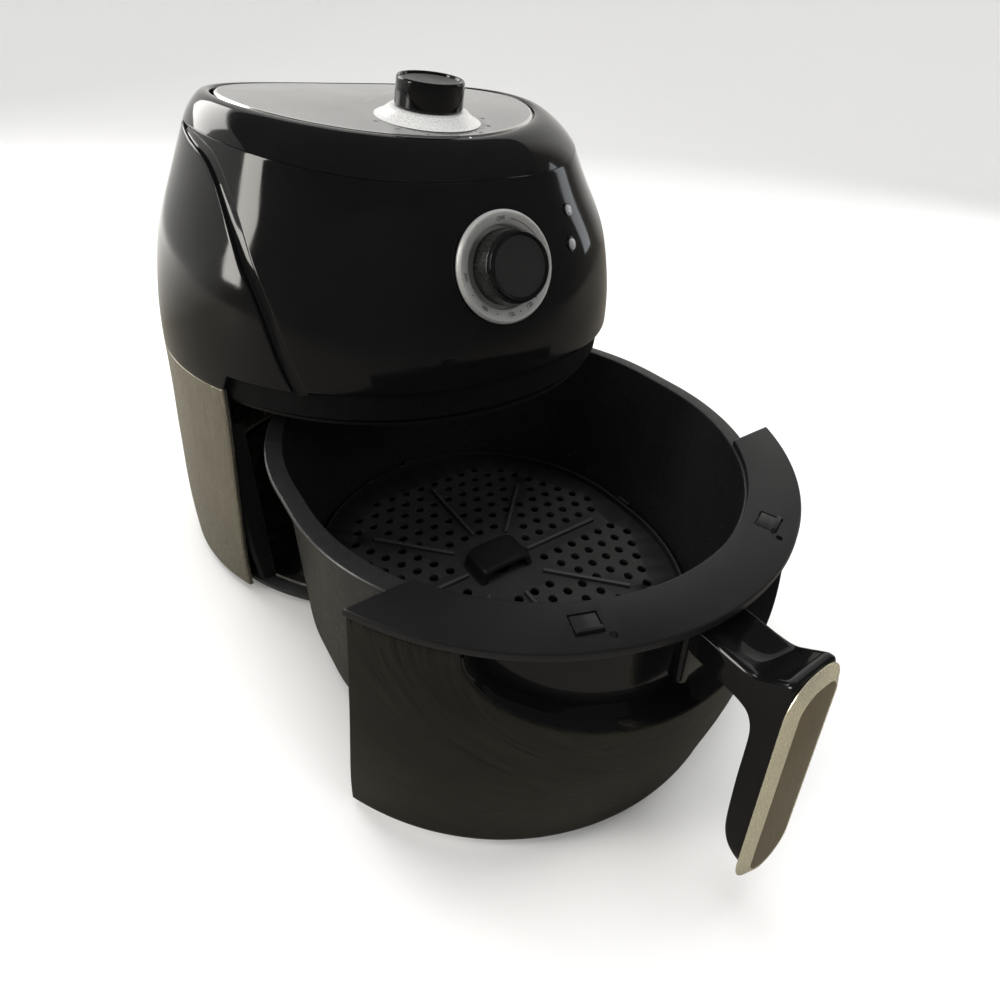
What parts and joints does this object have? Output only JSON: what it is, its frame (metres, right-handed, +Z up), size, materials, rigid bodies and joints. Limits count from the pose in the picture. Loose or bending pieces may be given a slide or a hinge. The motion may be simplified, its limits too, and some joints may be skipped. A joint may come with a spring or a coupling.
{
  "type": "air fryer",
  "caption": "Round countertop air fryer with a pull-out pan drawer, crisper tray, top timer knob and front temperature dial.",
  "frame": {"origin": "centre of the bounding box's bottom face, with the drawer part way open as in the picture", "axes": "+Z up, -Y is the front that the drawer and handle face, +X to the right of someone looking at that front from behind the object's centre towards +Y"},
  "size_m": [0.2956, 0.4882, 0.3159],
  "materials": {
    "black_gloss_shell": "piano black gloss, light dust and fine swirl marks",
    "satin_graphite": "satin warm-grey metallic paint on moulded plastic, with a fine brushed texture",
    "housing_lower": "satin warm-grey metallic paint on moulded plastic",
    "bay_black": "matte black heat-proof plastic",
    "base_black": "matte black plastic",
    "rubber_feet": "dark rubber",
    "zinc_screws": "zinc plated steel",
    "galvanised": "aluminised sheet steel",
    "insulation": "pale ceramic-fibre felt",
    "element_steel": "heat-tinted stainless tube",
    "guard_wire": "stamped stainless guard",
    "fan_alu": "pressed aluminium",
    "motor_core": "laminated motor core",
    "fan_plastic": "black fan plastic",
    "control_body": "cream control housing",
    "bell": "small steel bell",
    "silver_satin": "satin silver with a bright edge",
    "silver_handle": "satin silver plate",
    "ceramic": "white ceramic or resin",
    "clear_lens": "clear frosted lamp lens",
    "shaft_steel": "ground steel",
    "pan_coat": "satin black non-stick coat, slightly metallic outside",
    "tray_coat": "satin black non-stick coat",
    "bumper_rubber": "black silicone",
    "knob_gloss": "gloss black",
    "knob_face": "satin black",
    "collar_black": "matte black plastic"
  },
  "bodies": {
    "housing": {"base_plate": "base_black", "rubber_feet": "rubber_feet", "base_screws": "zinc_screws", "lower_housing": "housing_lower", "bay_frame": "bay_black", "bay_floor": "galvanised", "drawer_rails": "bay_black", "chamber_deck": "galvanised", "heat_chamber": "galvanised", "insulation_ring": "insulation", "heating_element": "element_steel", "element_guard": "guard_wire", "fan_motor": "motor_core", "motor_bracket": "galvanised", "timer_unit": "control_body", "timer_bell": "bell", "timer_hub": "silver_satin", "thermostat": "control_body", "thermal_fuse": "ceramic", "terminal_block": "ceramic", "microswitch": "fan_plastic", "dial_ring": "silver_satin", "lens_power": "clear_lens", "lens_heat": "clear_lens", "front_cover": "black_gloss_shell", "rear_housing": "black_gloss_shell", "trim_strip_left": "black_gloss_shell", "trim_strip_right": "black_gloss_shell", "top_rim": "black_gloss_shell", "top_plate": "silver_satin", "plate_carrier": "base_black", "rear_grille": "bay_black", "cord_gland": "base_black"},
    "drawer": {"pan": "pan_coat", "collar": "collar_black", "collar_clips": "collar_black", "fascia": "satin_graphite", "fascia_inset": "knob_gloss", "pan_bracket": "galvanised", "handle_grip": "knob_gloss", "handle_trim": "silver_handle", "handle_plate": "silver_handle", "handle_screws": "zinc_screws"},
    "tray": {"crisper_tray": "tray_coat", "tray_dome": "tray_coat", "tray_bumpers": "bumper_rubber"},
    "timer": {"timer_knob": "knob_gloss", "timer_cap": "knob_face", "timer_shaft": "shaft_steel"},
    "dial": {"dial_skirt": "silver_satin", "dial_cap": "knob_gloss", "dial_shaft": "shaft_steel"},
    "fan": {"fan_blade": "fan_alu", "motor_shaft": "shaft_steel", "cooling_fan": "fan_plastic"}
  },
  "joints": [
    {"name": "drawer_slide", "type": "slide", "parent": "housing", "child": "drawer", "axis": [0, 1, 0], "range_m": [-0.03, 0.15]},
    {"name": "tray_lift", "type": "slide", "parent": "drawer", "child": "tray", "axis": [0, 0, 1], "range_m": [0, 0.08]},
    {"name": "timer_turn", "type": "hinge", "parent": "housing", "child": "timer", "pos_m": [0, 0.04075, 0.29108], "axis": [0, -0.1426, 0.9898], "range_deg": [-300, 0]},
    {"name": "dial_turn", "type": "hinge", "parent": "housing", "child": "dial", "pos_m": [0, -0.04305, 0.2256], "axis": [0, -0.9527, 0.304], "range_deg": [-270, 0]},
    {"name": "fan_spin", "type": "hinge", "parent": "housing", "child": "fan", "pos_m": [0, 0.09475, 0.2], "axis": [0, 0, 1], "continuous": true}
  ]
}
